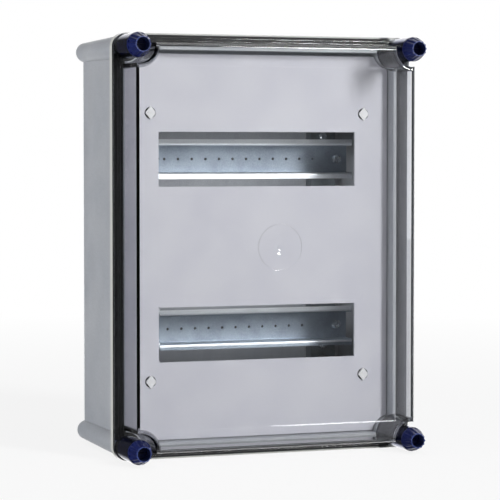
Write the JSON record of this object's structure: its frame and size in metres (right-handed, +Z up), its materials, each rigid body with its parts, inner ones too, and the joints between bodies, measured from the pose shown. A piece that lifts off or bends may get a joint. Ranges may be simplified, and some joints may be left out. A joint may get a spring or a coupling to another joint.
{
  "type": "din rail enclosure",
  "caption": "Wall enclosure with a clear screwed tray lid, rubber gasket, cover plate with windows and top-hat rails for modular devices.",
  "frame": {"origin": "centre of the four wall-fixing holes, on the outer face of the back wall", "axes": "+Z up the wall, +Y into the wall, so the front and the lid face -Y, and +X to the right seen from the front"},
  "size_m": [0.27, 0.1765, 0.36],
  "materials": {
    "grp_base": "hot-pressed glass-fibre polyester, satin",
    "clear_polycarbonate": "clear injection-moulded polycarbonate",
    "gasket_rubber": "extruded rubber, matt",
    "plate_plastic": "moulded, satin",
    "zinc_plated_steel": "passivated zinc plate",
    "blue_polyamide": "moulded polyamide, semi-gloss",
    "brass": "turned",
    "fastener_plastic": "moulded polyamide",
    "post_plastic": "moulded polyamide",
    "spacer_plastic": "moulded polyamide",
    "screw_steel": "zinc-plated steel"
  },
  "bodies": {
    "base": {"enclosure_base": "grp_base", "lid_gasket": "gasket_rubber", "cover_plate": "plate_plastic", "din_rail_upper": "zinc_plated_steel", "din_rail_lower": "zinc_plated_steel", "carrier_left": "zinc_plated_steel", "carrier_right": "zinc_plated_steel", "screw_insert_top_left": "brass", "plate_post_top_left": "post_plastic", "screw_insert_top_right": "brass", "plate_post_top_right": "post_plastic", "screw_insert_bottom_left": "brass", "plate_post_bottom_left": "post_plastic", "screw_insert_bottom_right": "brass", "plate_post_bottom_right": "post_plastic", "rail_screw_upper_left": "screw_steel", "carrier_screw_upper_left": "screw_steel", "rail_spacer_upper_left": "spacer_plastic", "rail_screw_upper_right": "screw_steel", "carrier_screw_upper_right": "screw_steel", "rail_spacer_upper_right": "spacer_plastic", "rail_screw_lower_left": "screw_steel", "carrier_screw_lower_left": "screw_steel", "rail_spacer_lower_left": "spacer_plastic", "rail_screw_lower_right": "screw_steel", "carrier_screw_lower_right": "screw_steel", "rail_spacer_lower_right": "spacer_plastic"},
    "lid": {"lid": "clear_polycarbonate"},
    "lid_screw_top_left": {"lid_screw_top_left": "blue_polyamide"},
    "lid_screw_top_right": {"lid_screw_top_right": "blue_polyamide"},
    "lid_screw_bottom_left": {"lid_screw_bottom_left": "blue_polyamide"},
    "lid_screw_bottom_right": {"lid_screw_bottom_right": "blue_polyamide"},
    "plate_screw_top_left": {"plate_screw_top_left": "fastener_plastic"},
    "plate_screw_top_right": {"plate_screw_top_right": "fastener_plastic"},
    "plate_screw_bottom_left": {"plate_screw_bottom_left": "fastener_plastic"},
    "plate_screw_bottom_right": {"plate_screw_bottom_right": "fastener_plastic"}
  },
  "joints": [
    {"name": "lid_lift_off", "type": "slide", "parent": "base", "child": "lid", "axis": [0, -1, 0], "range_m": [0, 0.15]},
    {"name": "lid_screw_top_left_turn", "type": "hinge", "parent": "lid", "child": "lid_screw_top_left", "pos_m": [-0.1235, -0.165, 0.1685], "axis": [0, -1, 0], "range_deg": [0, 270]},
    {"name": "lid_screw_top_right_turn", "type": "hinge", "parent": "lid", "child": "lid_screw_top_right", "pos_m": [0.1235, -0.165, 0.1685], "axis": [0, -1, 0], "range_deg": [0, 270]},
    {"name": "lid_screw_bottom_left_turn", "type": "hinge", "parent": "lid", "child": "lid_screw_bottom_left", "pos_m": [-0.1235, -0.165, -0.1685], "axis": [0, -1, 0], "range_deg": [0, 270]},
    {"name": "lid_screw_bottom_right_turn", "type": "hinge", "parent": "lid", "child": "lid_screw_bottom_right", "pos_m": [0.1235, -0.165, -0.1685], "axis": [0, -1, 0], "range_deg": [0, 270]},
    {"name": "plate_screw_top_left_turn", "type": "hinge", "parent": "base", "child": "plate_screw_top_left", "pos_m": [-0.098, -0.112, 0.1135], "axis": [0, -1, 0], "range_deg": [0, 90]},
    {"name": "plate_screw_top_right_turn", "type": "hinge", "parent": "base", "child": "plate_screw_top_right", "pos_m": [0.098, -0.112, 0.1135], "axis": [0, -1, 0], "range_deg": [0, 90]},
    {"name": "plate_screw_bottom_left_turn", "type": "hinge", "parent": "base", "child": "plate_screw_bottom_left", "pos_m": [-0.098, -0.112, -0.1155], "axis": [0, -1, 0], "range_deg": [0, 90]},
    {"name": "plate_screw_bottom_right_turn", "type": "hinge", "parent": "base", "child": "plate_screw_bottom_right", "pos_m": [0.098, -0.112, -0.1155], "axis": [0, -1, 0], "range_deg": [0, 90]}
  ]
}
